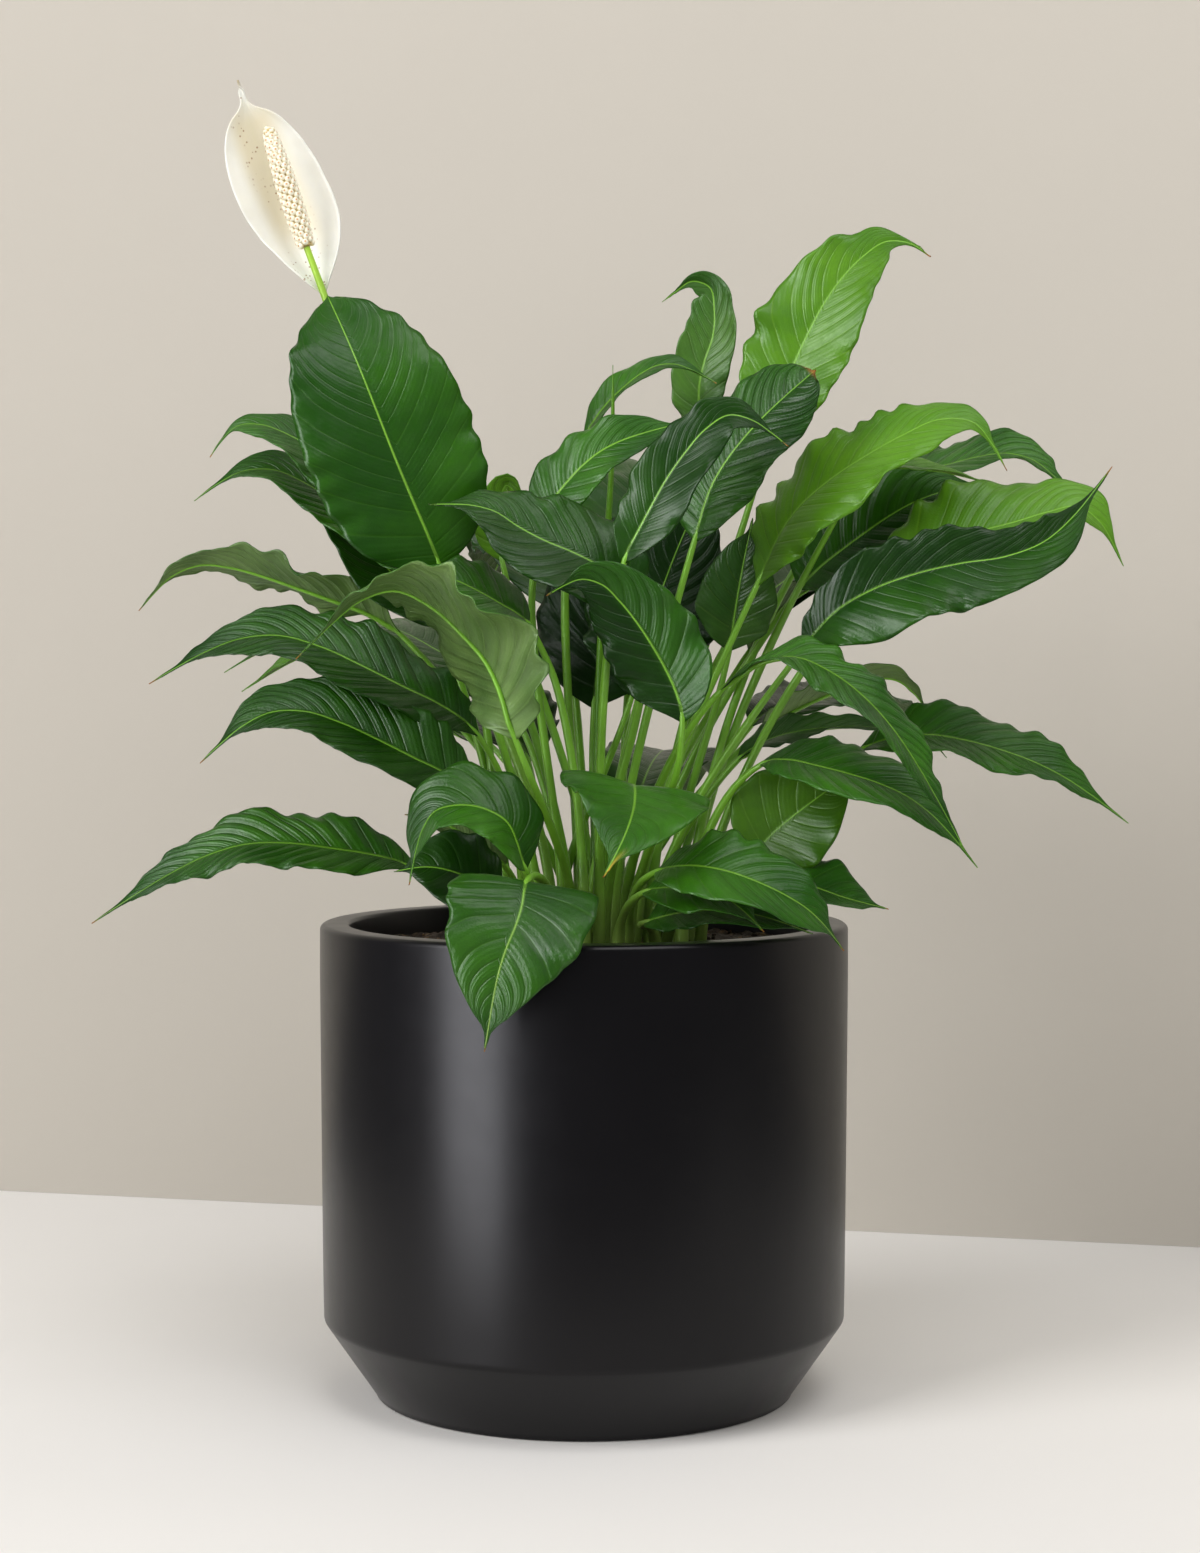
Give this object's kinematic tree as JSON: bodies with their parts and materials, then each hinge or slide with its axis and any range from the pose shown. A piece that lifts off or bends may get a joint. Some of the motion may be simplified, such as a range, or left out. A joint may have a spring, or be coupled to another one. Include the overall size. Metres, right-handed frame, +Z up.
{
  "type": "potted peace lily",
  "caption": "Live peace lily with glossy pleated leaves and one white flower, growing in soil in a smooth cylindrical black planter with a chamfered foot.",
  "frame": {"origin": "centre of the planter's flat underside", "axes": "+Z up along the planter axis, -Y towards the front of the plant, -X towards the side the flower leans to"},
  "size_m": [0.5308, 0.3947, 0.6734],
  "materials": {
    "stalk_green": "smooth satin light green",
    "leaf_mid": "glossy mid green with pleated veins",
    "leaf_deep": "glossy deep green with pleated veins",
    "leaf_pale": "matte pale grey-green",
    "leaf_bright": "satin bright yellow-green",
    "leaf_fresh": "satin fresh yellow-green",
    "planter_black": "satin black glaze",
    "soil": "dark brown crumbly earth",
    "spadix_cream": "knobbed matte cream yellow",
    "spathe_cream": "soft matte cream white"
  },
  "bodies": {
    "root": {"flower_stalk": "stalk_green", "leaf_back_a": "leaf_mid", "leaf_back_b": "leaf_mid", "leaf_back_c": "leaf_mid", "leaf_back_d": "leaf_deep", "leaf_back_e": "leaf_deep", "leaf_back_f": "leaf_mid", "leaf_back_g": "leaf_mid", "leaf_front_dark": "leaf_deep", "leaf_front_glossy": "leaf_deep", "leaf_front_hanging": "leaf_mid", "leaf_front_on_rim": "leaf_deep", "leaf_front_over_rim": "leaf_mid", "leaf_front_right_tip": "leaf_mid", "leaf_front_short": "leaf_mid", "leaf_front_yellowed": "leaf_mid", "leaf_inner_a": "leaf_deep", "leaf_inner_b": "leaf_deep", "leaf_inner_c": "leaf_pale", "leaf_left_arched": "leaf_pale", "leaf_left_back": "leaf_mid", "leaf_left_behind": "leaf_deep", "leaf_left_broad": "leaf_deep", "leaf_left_curled": "leaf_mid", "leaf_left_highest": "leaf_mid", "leaf_left_long_low": "leaf_mid", "leaf_left_low": "leaf_deep", "leaf_left_lowest": "leaf_deep", "leaf_left_middle": "leaf_deep", "leaf_left_narrow_a": "leaf_mid", "leaf_left_narrow_b": "leaf_bright", "leaf_left_pale": "leaf_pale", "leaf_left_underside": "leaf_pale", "leaf_left_upper": "leaf_mid", "leaf_left_wavy": "leaf_mid", "leaf_right_big": "leaf_deep", "leaf_right_draped": "leaf_mid", "leaf_right_farthest": "leaf_mid", "leaf_right_grey": "leaf_pale", "leaf_right_long_bright": "leaf_bright", "leaf_right_low": "leaf_mid", "leaf_right_middle": "leaf_deep", "leaf_right_olive": "leaf_bright", "leaf_right_outer": "leaf_bright", "leaf_right_pleated": "leaf_mid", "leaf_right_shaded": "leaf_pale", "leaf_right_strip": "leaf_bright", "leaf_right_veined": "leaf_deep", "leaf_rolled": "leaf_fresh", "leaf_top_bright": "leaf_bright", "leaf_top_browned": "leaf_deep", "leaf_top_dark": "leaf_deep", "leaf_top_glossy": "leaf_mid", "leaf_top_narrow": "leaf_mid", "leaf_top_pale": "leaf_pale", "leaf_young_curled": "leaf_bright", "planter": "planter_black", "potting_soil": "soil", "spadix": "spadix_cream", "spathe": "spathe_cream"}
  },
  "joints": []
}
